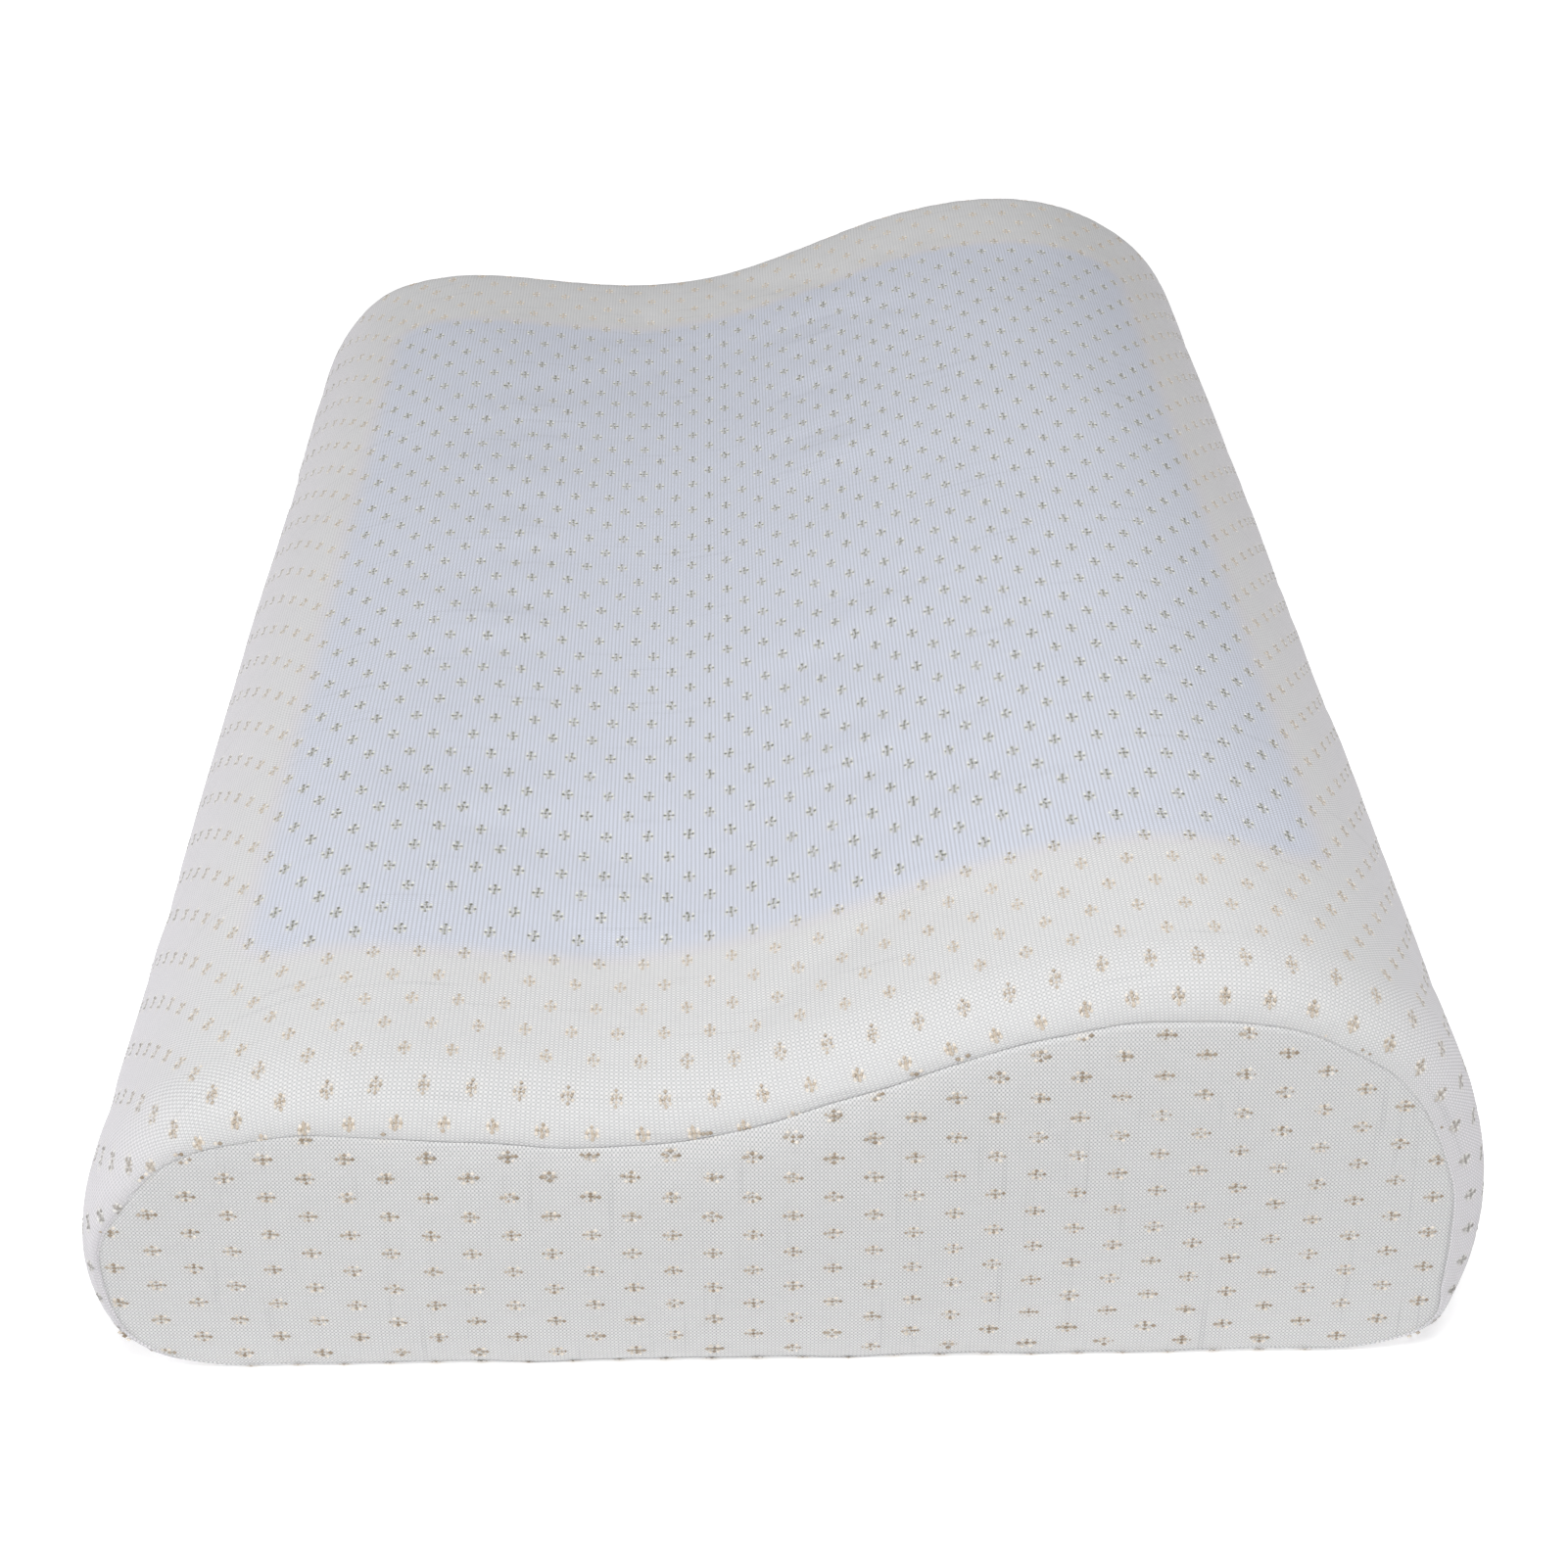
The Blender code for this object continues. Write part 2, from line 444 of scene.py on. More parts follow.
def dimples(knit, across, along, depth):
    """Depth of the cloth round the crosses: a bell-shaped hollow at each, as wide as its yarn floats."""
    wide, tall = 1.9 * MM, 3.0 * MM
    total = 0
    for shift in (0.0, 0.5):
        da = (across + shift - np.round(across + shift)) * knit.repeat_across
        dl = (along + shift - np.round(along + shift)) * knit.repeat_along
        total = total + np.exp(-((da / wide) ** 2) - (dl / tall) ** 2)
    return -depth * total


def soft_waves(x, y, z):
    """Slow unevenness of a filled cover from -1 to 1: a sum of five crossing sine waves."""
    waves = (
        # wave numbers in x, y, z (per metre), phase, share
        (38, 21, 17, 0.4, 0.30),
        (-24, 47, 30, 2.1, 0.25),
        (71, -33, 45, 4.0, 0.18),
        (-57, -76, 22, 1.3, 0.15),
        (93, 88, -60, 5.2, 0.12),
    )
    return sum(share * np.sin(a * x + b * y + c * z + p) for a, b, c, p, share in waves)


# Wrap panel


class Wrap:
    """The wrap panel as a surface over the distances s round the section and t along the cloth."""

    def __init__(self, form, knit):
        self.form = form
        self.knit = knit
        self.outline = Outline()
        self.settled = np.zeros((SETTLE_ROWS + 1, SETTLE_COLUMNS))

    def rolls(self, s):
        """Sizes of the rolled end at s: extent, inset, straight run, length and fold of the roll."""
        normal = self.outline.at(s)[1]
        extent = size_by_direction(normal, ROLL_EXTENT)
        fold = self.form.crease * size_by_direction(normal, CREASE_SHARE)
        inset = size_by_direction(normal, ROLL_INSET) - fold * math.sin(self.form.meeting)
        run = self.form.length / 2 - extent
        return extent, inset, run, quarter_arc(extent, inset), fold

    def edge(self, s):
        """Distance along the cloth from its middle to the bottom of the crease."""
        run, arc, fold = self.rolls(s)[2:]
        return run + arc + math.pi / 2 * fold

    def frame(self, s, t):
        """Point, outward normal and direction along the cloth of the smooth form.

        Along the straight run the section is carried along Y. Past it the cloth follows a
        quarter ellipse that draws in by the roll's inset, then a quarter circle down into the
        crease, and then runs straight inwards behind the end panel.
        """
        point, normal = self.outline.at(s)
        extent, inset, run, arc, fold = self.rolls(s)
        side = np.where(t < 0, -1.0, 1.0)
        beyond = np.clip(np.abs(t) - run, 0, None)
        angle = math.pi / 2 * np.clip(beyond / arc, 0, 1)
        folded = np.clip(beyond - arc, 0, math.pi / 2 * fold)
        turn = folded / fold
        inward = np.clip(beyond - arc - math.pi / 2 * fold, 0, None)
        reach = run + extent * np.sin(angle) - fold * (1 - np.cos(turn)) - inward
        y = np.where(beyond > 0, side * reach, t)
        near_seam = np.clip(beyond / arc, 0, 1) ** 2
        drawn = inset * (1 - np.cos(angle)) + fold * np.sin(turn) + seam_wander(s) * near_seam
        x = point[..., 0] - normal[..., 0] * drawn
        z = point[..., 1] - normal[..., 1] * drawn
        outwards = np.where(folded > 0, -np.sin(turn), extent * np.cos(angle))
        endwards = np.where(folded > 0, np.cos(turn), inset * np.sin(angle)) * side
        size = np.hypot(outwards, endwards)
        outwards, endwards = outwards / size, endwards / size
        face = np.stack([normal[..., 0] * outwards, endwards, normal[..., 1] * outwards], axis=-1)
        along = np.stack([-normal[..., 0] * endwards, outwards, -normal[..., 1] * endwards], axis=-1)
        return np.stack([x, y, z], axis=-1), face, along

    def settled_height(self, s, t):
        """Height that the cloth simulation left at s and t: a bicubic B-spline over its grid."""
        column = np.mod(s / self.outline.length, 1) * SETTLE_COLUMNS
        row = (np.clip(t / self.edge(s), -1, 1) + 1) / 2 * SETTLE_ROWS
        j, i = np.floor(column).astype(int), np.floor(row).astype(int)
        total = 0
        for b, row_weight in enumerate(cubic_weights(row - i)):
            rows = np.clip(i + b - 1, 0, SETTLE_ROWS)
            for a, column_weight in enumerate(cubic_weights(column - j)):
                columns = (j + a - 1) % SETTLE_COLUMNS
                total = total + row_weight * column_weight * self.settled[rows, columns]
        return total

    def surface(self, s, t):
        """Finished points, normals and directions of the wrap panel, with its pattern coordinates."""
        points, face, along_dir = self.frame(s, t)
        across, along = wrap_pattern(self.knit, s, t)
        x, y, z = (points[..., k] for k in range(3))
        waves = self.form.unevenness * soft_waves(x, y, z) + self.settled_height(s, t)
        hollows = dimples(self.knit, across, along, self.form.dimple)
        free = np.clip((self.edge(s) - np.abs(t)) / (8 * MM), 0, 1)
        height = (waves + hollows) * np.clip(z / (20 * MM), 0, 1) * free
        return points + face * height[..., None], face, along_dir, across, along

    def settle(self):
        """Settle the cover over its filling with Blender's cloth simulation.

        A coarse copy of the panel, slightly larger than the form, is blown out by a light
        pressure while its seams and its base are held. The swelling that all the cloth shares
        is taken off again, and the rest, capped, is kept as a height over the form.
        """
        columns = np.arange(SETTLE_COLUMNS) * self.outline.length / SETTLE_COLUMNS
        share = np.linspace(-1, 1, SETTLE_ROWS + 1)[:, None]
        s = np.broadcast_to(columns, (SETTLE_ROWS + 1, SETTLE_COLUMNS))
        points, face, _ = self.frame(s, share * self.edge(s))
        cloth = mesh_object("settling", points.reshape(-1, 3), tube_faces(*s.shape).tolist())
        held = (np.abs(share) > 0.995) | (points[..., 2] < 4 * MM)
        weights = np.where(held, 1.0, self.form.hold)
        group = cloth.vertex_groups.new(name="held")
        for value in np.unique(weights):
            group.add(np.flatnonzero(weights.ravel() == value).tolist(), float(value), "REPLACE")
        moved = simulated_points(cloth, self.form.pressure).reshape(points.shape)
        height = np.sum((moved - points) * face, axis=-1)
        height = height - spread(height, 6)
        self.settled = np.clip(height, -self.form.settle_cap, self.form.settle_cap)


def simulated_points(cloth, pressure):
    """Points of an object after a Cloth simulation with pressure and no gravity; it is then removed."""
    scene = bpy.context.scene
    modifier = cloth.modifiers.new("settle", "CLOTH")
    settings = modifier.settings
    settings.quality = 6
    settings.mass = 0.3
    settings.tension_stiffness = 12.0
    settings.compression_stiffness = 12.0
    settings.shear_stiffness = 4.0
    settings.bending_stiffness = 0.3
    settings.use_pressure = True
    settings.uniform_pressure_force = pressure
    settings.vertex_group_mass = "held"
    settings.pin_stiffness = 1.0
    settings.shrink_min = -0.006
    settings.effector_weights.gravity = 0.0
    modifier.point_cache.frame_start = 1
    modifier.point_cache.frame_end = SETTLE_FRAMES
    for number in range(1, SETTLE_FRAMES + 1):
        scene.frame_set(number)
    depsgraph = bpy.context.evaluated_depsgraph_get()
    mesh = cloth.evaluated_get(depsgraph).to_mesh()
    moved = np.empty(len(mesh.vertices) * 3)
    mesh.vertices.foreach_get("co", moved)
    scene.frame_set(1)
    data = cloth.data
    bpy.data.objects.remove(cloth)
    bpy.data.meshes.remove(data)
    return moved


def spread(height, reach):
    """Mean of a grid over a square of 2 x reach + 1 steps, closed round its columns."""
    steps = range(-reach, reach + 1)
    around = sum(np.roll(height, k, axis=1) for k in steps) / len(steps)
    padded = np.pad(around, ((reach, reach), (0, 0)), mode="edge")
    return sum(padded[reach + k : reach + k + len(height)] for k in steps) / len(steps)


def tube_faces(rows, columns):
    """Quads of a tube of rows x columns points, facing outwards where columns run clockwise."""
    index = np.arange(rows * columns).reshape(rows, columns)
    index = np.concatenate([index, index[:, :1]], axis=1)
    return quads_of(index).reshape(-1, 4)


def quads_of(grid):
    """Corners of each cell of a grid, first along its columns: index numbers or values."""
    return np.stack([grid[:-1, :-1], grid[:-1, 1:], grid[1:, 1:], grid[1:, :-1]], axis=2)


def wrap_grid(wrap):
    """Distances s round and t along the wrap panel for every grid point, seam behind seam."""
    outline = wrap.outline
    top = np.linspace(0, outline.high_foot, TOP_COLUMNS + 1)
    base = np.linspace(outline.high_foot, outline.length, BASE_COLUMNS + 1)[1:]
    s = np.concatenate([top, base])
    run, arc, fold = wrap.rolls(s)[2:]
    fold = math.pi / 2 * fold
    straight = np.linspace(-1, 1, RUN_ROWS + 1)[:, None] * run
    roll = run + np.linspace(0, 1, ROLL_ROWS + 1)[1:, None] * arc
    crease = run + arc + np.linspace(0, 1, CREASE_ROWS + 1)[1:, None] ** 1.6 * fold
    groove = run + arc + fold + np.linspace(0, 1, GROOVE_ROWS + 1)[1:, None] * wrap.form.groove
    far = np.concatenate([roll, crease, groove])
    t = np.concatenate([-far[::-1], straight, far])
    return np.broadcast_to(s, t.shape), t


def mesh_object(name, points, faces, corner_maps=(), point_values=()):
    """Object at the origin from points and faces, with UV maps per corner and values per point."""
    mesh = bpy.data.meshes.new(name)
    mesh.from_pydata(points.tolist(), [], faces)
    for map_name, values in corner_maps:
        layer = mesh.uv_layers.new(name=map_name)
        layer.data.foreach_set("uv", values.astype(np.float32).ravel())
    for value_name, values in point_values:
        layer = mesh.attributes.new(value_name, "FLOAT", "POINT")
        layer.data.foreach_set("value", values.astype(np.float32).ravel())
    mesh.shade_smooth()
    piece = bpy.data.objects.new(name, mesh)
    bpy.context.scene.collection.objects.link(piece)
    return piece


def hidden_cap(rim_ids, rim, first_id, outward):
    """Cap behind an end panel: rings drawn in to a middle point, as points and faces."""
    shares = (0.75, 0.5, 0.25)
    middle = np.array([0.0, rim[0, 1], (rim[:, 2].max() + rim[:, 2].min()) / 2])
    rings = [middle + share * (rim - middle) for share in shares]
    ids = [rim_ids] + [first_id + k * len(rim) + np.arange(len(rim)) for k in range(len(shares))]
    centre = np.full(len(rim), first_id + len(shares) * len(rim))
    faces = []
    for outer, inner in zip(ids, ids[1:]):
        faces.append(np.stack([outer, np.roll(outer, -1), np.roll(inner, -1), inner], axis=-1))
    fan = np.stack([ids[-1], np.roll(ids[-1], -1), centre], axis=-1)
    turn = slice(None, None, outward)
    listed = [face for ring in faces for face in ring[:, turn].tolist()] + fan[:, turn].tolist()
    return np.concatenate([*rings, middle[None]]), listed


def build_wrap(wrap):
    """Wrap panel with its filling as one closed mesh, capped behind the end panels."""
    s, t = wrap_grid(wrap)
    points, _, _, across, along = wrap.surface(s, t)
    rows, columns = s.shape[0], s.shape[1] - 1
    body = points[:, :-1].reshape(-1, 3)
    faces = tube_faces(rows, columns).tolist()
    index = np.arange(rows * columns).reshape(rows, columns)
    caps = []
    used = len(body)
    for row, outward in ((0, -1), (rows - 1, 1)):
        cap, listed = hidden_cap(index[row], points[row, :-1], used, outward)
        caps.append(cap)
        faces += listed
        used += len(cap)
    pattern = quads_of(np.stack([across, along], axis=-1)).reshape(-1, 2)
    edge = wrap.edge(s) + wrap.form.groove
    flat = quads_of(np.stack([0.98 * s / wrap.outline.length, (t / edge + 1) / 2], axis=-1)).reshape(-1, 2)
    rest = sum(len(face) for face in faces) - len(flat)
    hidden = np.tile([0.99, 0.5], (rest, 1))
    return mesh_object(
        "wrap_cover",
        np.concatenate([body, *caps]),
        faces,
        [
            ("repeat", np.concatenate([pattern, 0 * hidden])),
            ("OFBake", np.concatenate([flat, hidden])),
        ],
    )


# End panels


class EndPanel:
    """One end panel as a surface over its outline: a grid of (x, z) places and their height."""

    def __init__(self, form, knit, side):
        self.form = form
        self.knit = knit
        self.side = side
        self.outline = Outline()
        marks = self.outline
        low = np.linspace(0, marks.low_shoulder, END_ROWS + 1)
        top = np.linspace(marks.low_shoulder, marks.high_shoulder, END_COLUMNS + 1)
        high = np.linspace(marks.high_foot, marks.high_shoulder, END_ROWS + 1)
        base = np.linspace(marks.length, marks.high_foot, END_COLUMNS + 1)
        self.patch = coons(*(self.rim(s) for s in (low, top, high, base)))

    def rim(self, s):
        """(x, z) of the panel's edge at the distances s, on the wrap panel's fold."""
        points, normal = self.outline.at(s)
        inset = size_by_direction(normal, ROLL_INSET) + seam_wander(s)
        return points - normal * inset[..., None]

    def rim_distance(self, places):
        """Distance of each (x, z) place to the panel's edge."""
        rim = self.rim(np.linspace(0, self.outline.length, 1200))
        flat = places.reshape(-1, 2)
        near = np.full(len(flat), np.inf)
        for chunk in np.array_split(rim, 12):
            gaps = np.linalg.norm(flat[:, None] - chunk[None], axis=-1)
            near = np.minimum(near, gaps.min(axis=1))
        return near.reshape(places.shape[:-1])

    def surface(self, x, z, u, v):
        """Points of the outer face at the places (x, z) with the patch shares u and v.

        A parabolic shoulder lifts the cloth out of its crease, a flat crown fills its
        middle, and it has slow waves and the dimples of its crosses.
        """
        form = self.form
        rim = self.rim_distance(np.stack([x, z], axis=-1))
        rise = np.clip(rim / form.end_shoulder, 0, 1)
        depth = form.crease * (1 - math.cos(form.meeting)) + 0.02 * MM
        shoulder = -depth * (1 - rise) ** 2
        crown = form.end_crown * 16 * u * (1 - u) * v * (1 - v)
        inner = np.clip(rim / (12 * MM), 0, 1)
        across, along = end_pattern(self.knit, x, z)
        waves = form.unevenness * soft_waves(2 * x, 0.3, 2 * z) + dimples(self.knit, across, along, form.dimple)
        out = shoulder + crown + waves * inner
        return np.stack([x, self.side * (form.length / 2 + out), z], axis=-1)


def coons(low_side, top, high_side, base):
    """Grid that fills four edges: both ruled surfaces less the flat patch through the corners."""
    u = np.linspace(0, 1, len(top))[:, None, None]
    v = np.linspace(0, 1, len(low_side))[None, :, None]
    base_to_top = (1 - v) * base[:, None] + v * top[:, None]
    side_to_side = (1 - u) * low_side[None] + u * high_side[None]
    low_corners = (1 - v) * base[0] + v * top[0]
    high_corners = (1 - v) * base[-1] + v * top[-1]
    return base_to_top + side_to_side - (1 - u) * low_corners - u * high_corners


def build_end(panel, name):
    """End panel as a sheet: its outer face worked out, its thickness by Solidify."""
    u = np.linspace(0, 1, END_COLUMNS + 1)[:, None]
    v = np.linspace(0, 1, END_ROWS + 1)[None, :]
    x, z = panel.patch[..., 0], panel.patch[..., 1]
    points = panel.surface(x, z, u, v)
    index = np.arange(x.size).reshape(x.shape)
    quads = quads_of(index)
    uv = quads_of(np.stack(end_pattern(panel.knit, x, z), axis=-1))
    if panel.side < 0:
        quads, uv = quads[:, :, ::-1], uv[:, :, ::-1]
    corners = [("repeat", uv.reshape(-1, 2))]
    piece = mesh_object(name, points.reshape(-1, 3), quads.reshape(-1, 4).tolist(), corners)
    wall = piece.modifiers.new("cloth thickness", "SOLIDIFY")
    wall.thickness = panel.form.cloth
    wall.offset = -1.0
    return piece


# Crosses


def stitch_grains(points, face, along, length, width, height):
    """Small raised stitches: four-sided pyramids of their own heights, their foot under the cloth."""
    across = np.cross(along, face)
    foot = points - face * 0.05 * MM
    corners = [
        foot + along * length / 2,
        foot + across * width / 2,
        foot - along * length / 2,
        foot - across * width / 2,
        points + face * height[:, None],
    ]
    shape = np.array([[1, 0, 4], [2, 1, 4], [3, 2, 4], [0, 3, 4], [0, 1, 2], [0, 2, 3]])
    faces = shape[None] + 5 * np.arange(len(points))[:, None, None]
    return np.stack(corners, axis=1).reshape(-1, 3), faces.reshape(-1, 3)


def cross_lattice(low, high):
    """Pattern coordinates of every cross between two corners: whole numbers, and halves between."""
    found = []
    for shift in (0.0, 0.5):
        steps = [np.arange(math.ceil(a - shift), math.floor(b - shift) + 1) for a, b in zip(low, high)]
        found.append(np.stack(np.meshgrid(*steps, indexing="ij"), axis=-1).reshape(-1, 2) + shift)
    return np.concatenate(found)


def charted_stitches(crosses, seed):
    """Pattern coordinates, yarn lightness and tone of each stitch of the charted crosses."""
    chart = np.array(CROSS_CHART)
    offset = chart[:, :2] / np.array([WALES, COURSES])
    rng = np.random.default_rng(seed)
    loose = rng.normal(0, 0.12, (len(crosses), len(chart), 2)) / np.array([WALES, COURSES])
    places = (crosses[:, None] + offset[None] + loose).reshape(-1, 2)
    yarn = chart[None, :, 2] + rng.normal(0, 0.06, (len(crosses), len(chart)))
    tone = np.repeat(rng.uniform(0, 1, len(crosses)), len(chart))
    return places, np.clip(yarn.reshape(-1), 0, 1), tone


def grain_object(name, repeats, points, face, along, yarn, tone):
    """Joined stitches laid on a surface, with their yarn and tone as point values."""
    width, length = 1.25 * repeats[0] / WALES, 1.6 * repeats[1] / COURSES
    height = np.where(yarn < 0.5, 0.22 * MM, 0.18 * MM)
    grains, faces = stitch_grains(points, face, along, length, width, height)
    values = [("yarn", np.repeat(yarn, 5)), ("tone", np.repeat(tone, 5))]
    return mesh_object(name, grains, faces.tolist(), point_values=values)


def build_wrap_crosses(wrap, name, low, high, seed):
    """Crosses of the wrap panel between two distances round it."""
    knit = wrap.knit
    reach = wrap.form.length / 2 + 40 * MM
    corners = [wrap_pattern(knit, s, t) for s, t in ((low, -reach), (high, reach))]
    crosses = cross_lattice(*corners)
    s, t = wrap_place(knit, crosses[:, 0], crosses[:, 1])
    places, yarn, tone = charted_stitches(crosses[np.abs(t) < wrap.edge(s) - 0.5 * MM], seed)
    s, t = wrap_place(knit, places[:, 0], places[:, 1])
    shown = np.abs(t) < wrap.edge(s) - 0.8 * MM
    points, face, along = wrap.surface(s[shown], t[shown])[:3]
    repeats = (knit.repeat_across, knit.repeat_along)
    return grain_object(name, repeats, points, face, along, yarn[shown], tone[shown])


def build_end_crosses(panel, name, seed):
    """Crosses of one end panel, laid on its outer face."""
    knit, side = panel.knit, panel.side
    flat = panel.patch.reshape(-1, 2)
    corners = [end_pattern(knit, *corner) for corner in (flat.min(axis=0), flat.max(axis=0))]
    places, yarn, tone = charted_stitches(cross_lattice(*corners), seed)
    x = END_CROSS[0] + places[:, 1] * knit.end_repeat_along
    z = END_CROSS[1] + places[:, 0] * knit.end_repeat_across
    u, v, inside = patch_place(panel.patch, x, z)
    keep = inside & (panel.rim_distance(np.stack([x, z], axis=-1)) > 0.8 * MM)
    points = panel.surface(x[keep], z[keep], u[keep], v[keep])
    face = np.tile([0.0, side, 0.0], (len(points), 1))
    along = np.tile([1.0, 0.0, 0.0], (len(points), 1))
    repeats = (knit.end_repeat_across, knit.end_repeat_along)
    return grain_object(name, repeats, points, face, along, yarn[keep], tone[keep])


def patch_place(patch, x, z):
    """Shares u and v of each (x, z) place on an end patch, and whether it lies within it."""
    columns, rows = patch.shape[:2]
    flat = patch.reshape(-1, 2)
    nearest = np.empty(len(x), dtype=int)
    for part in np.array_split(np.arange(len(x)), 8):
        gaps = (flat[None, :, 0] - x[part, None]) ** 2 + (flat[None, :, 1] - z[part, None]) ** 2
        nearest[part] = gaps.argmin(axis=1)
    i, j = np.unravel_index(nearest, (columns, rows))
    far = np.hypot(flat[nearest, 0] - x, flat[nearest, 1] - z)
    return i / (columns - 1), j / (rows - 1), far < 1.5 * MM


# Materials


class Shade:
    """Short calls that add and link the nodes of one material."""

    def __init__(self, name):
        self.material = bpy.data.materials.new(name)
        self.material.use_nodes = True
        self.tree = self.material.node_tree
        self.shader = self.tree.nodes["Principled BSDF"]

    def link(self, value, socket):
        """Link an output, or write a plain value, to an input."""
        if isinstance(value, bpy.types.NodeSocket):
            self.tree.links.new(value, socket)
        else:
            socket.default_value = value

    def math(self, operation, *values, clamp=False):
        """Result of a Math node."""
        node = self.tree.nodes.new("ShaderNodeMath")
        node.operation = operation
        node.use_clamp = clamp
        for value, socket in zip(values, node.inputs):
            self.link(value, socket)
        return node.outputs[0]

    def mix(self, share, first, second, blend="MIX"):
        """Colour between two colours."""
        node = self.tree.nodes.new("ShaderNodeMix")
        node.data_type = "RGBA"
        node.blend_type = blend
        self.link(share, node.inputs["Factor"])
        self.link(first if isinstance(first, bpy.types.NodeSocket) else (*first, 1.0), node.inputs["A"])
        self.link(second if isinstance(second, bpy.types.NodeSocket) else (*second, 1.0), node.inputs["B"])
        return node.outputs["Result"]

    def ramp(self, value, low, high):
        """Smooth step of a value from low to high."""
        node = self.tree.nodes.new("ShaderNodeMapRange")
        node.interpolation_type = "SMOOTHSTEP"
        self.link(value, node.inputs["Value"])
        node.inputs["From Min"].default_value = low
        node.inputs["From Max"].default_value = high
        return node.outputs["Result"]

    def noise(self, vector, scale, detail=2.0):
        """Noise from 0 to 1."""
        node = self.tree.nodes.new("ShaderNodeTexNoise")
        node.inputs["Scale"].default_value = scale
        node.inputs["Detail"].default_value = detail
        self.link(vector, node.inputs["Vector"])
        return node.outputs["Fac"]

    def pair(self, map_name):
        """The two coordinates of a UV map."""
        uv = self.tree.nodes.new("ShaderNodeUVMap")
        uv.uv_map = map_name
        split = self.tree.nodes.new("ShaderNodeSeparateXYZ")
        self.link(uv.outputs["UV"], split.inputs[0])
        return split.outputs[0], split.outputs[1]

    def place(self):
        """Object coordinates, whole and split."""
        node = self.tree.nodes.new("ShaderNodeTexCoord")
        split = self.tree.nodes.new("ShaderNodeSeparateXYZ")
        self.link(node.outputs["Object"], split.inputs[0])
        return node.outputs["Object"], split.outputs

    def value(self, name):
        """A value that is stored on the mesh's points."""
        node = self.tree.nodes.new("ShaderNodeAttribute")
        node.attribute_name = name
        return node.outputs["Fac"]


def gel_field(shade, gel):
    """Share of gel under a point: a rounded rectangle seen from above with a soft edge, top only."""
    low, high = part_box("gel_pad")
    _, (x, y, z) = shade.place()
    offsets = []
    for axis, value in ((0, x), (1, y)):
        middle = (low[axis] + high[axis]) / 2
        half = (high[axis] - low[axis]) / 2 - gel.corner
        centred = shade.math("ABSOLUTE", shade.math("SUBTRACT", value, middle))
        offsets.append(shade.math("MAXIMUM", shade.math("SUBTRACT", centred, half), 0.0))
    squares = [shade.math("MULTIPLY", offset, offset) for offset in offsets]
    reach = shade.math("SQRT", shade.math("ADD", *squares))
    edge = shade.ramp(reach, gel.corner + gel.softness * 0.35, gel.corner - gel.softness * 0.65)
    return shade.math("MULTIPLY", edge, shade.ramp(z, 0.030, 0.045))


def cell_distance(shade, across, along, knit, wide, tall):
    """Squared distance to the nearest cross, in units of wide across and tall along."""
    found = []
    for shift in (0.0, 0.5):
        total = None
        for value, repeat, size in (
            (across, knit.repeat_across, wide),
            (along, knit.repeat_along, tall),
        ):
            moved = shade.math("ADD", value, shift)
            off = shade.math("SUBTRACT", moved, shade.math("ROUND", moved))
            scaled = shade.math("MULTIPLY", off, repeat / size)
            square = shade.math("MULTIPLY", scaled, scaled)
            total = square if total is None else shade.math("ADD", total, square)
        found.append(total)
    return shade.math("MINIMUM", *found)


def side_share(shade):
    """Share of the long sides' outer faces at a point: past the lobes' shoulders, by its place in X."""
    _, (x, _, _) = shade.place()
    return shade.ramp(shade.math("ABSOLUTE", x), 0.118, 0.150)


def laddering(shade, across, along):
    """Darkness of the short loose courses that run across the knit: the peaks of a stretched noise."""
    join = shade.tree.nodes.new("ShaderNodeCombineXYZ")
    shade.link(shade.math("MULTIPLY", across, 0.22), join.inputs[0])
    shade.link(shade.math("MULTIPLY", along, 6.0), join.inputs[1])
    return shade.math("MULTIPLY", shade.ramp(shade.noise(join.outputs[0], 1.0), 0.60, 0.74), 0.08)


